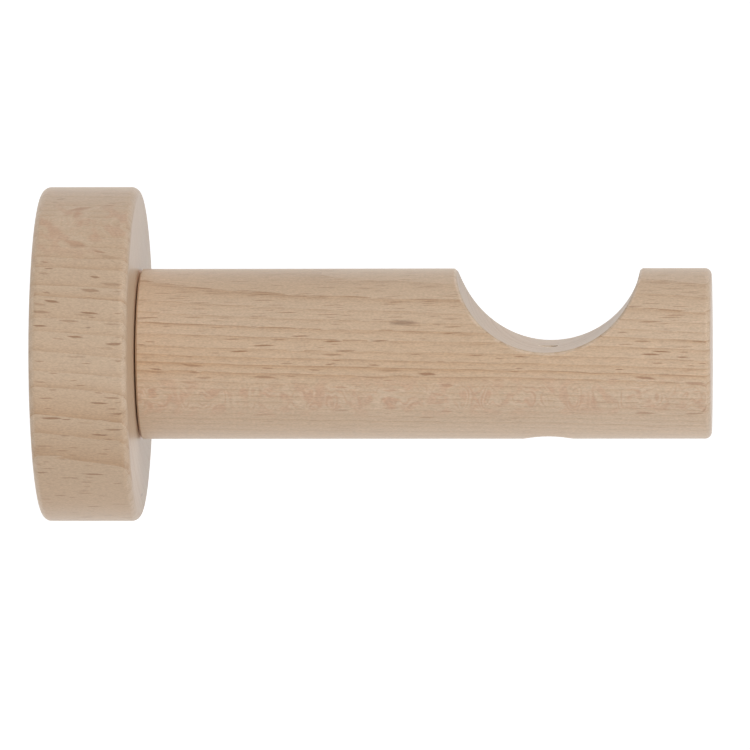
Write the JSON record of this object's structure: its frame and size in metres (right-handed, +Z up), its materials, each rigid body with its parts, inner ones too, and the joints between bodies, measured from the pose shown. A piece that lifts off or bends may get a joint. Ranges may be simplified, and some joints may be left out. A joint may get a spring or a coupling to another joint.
{
  "type": "curtain pole bracket",
  "caption": "Turned wooden wall bracket with a round wall disc and a round arm that carries a curtain pole in a half-round seat.",
  "frame": {"origin": "centre of the disc's flat back, where the bracket meets the wall", "axes": "+X along the arm away from the wall, +Y along the curtain pole, +Z up, with the pole's half-round recess open upwards"},
  "size_m": [0.11, 0.055, 0.055],
  "materials": {
    "beech": "satin",
    "zinc": "satin"
  },
  "bodies": {
    "root": {"wall_disc": "beech", "arm": "beech", "threaded_insert": "zinc"}
  },
  "joints": []
}
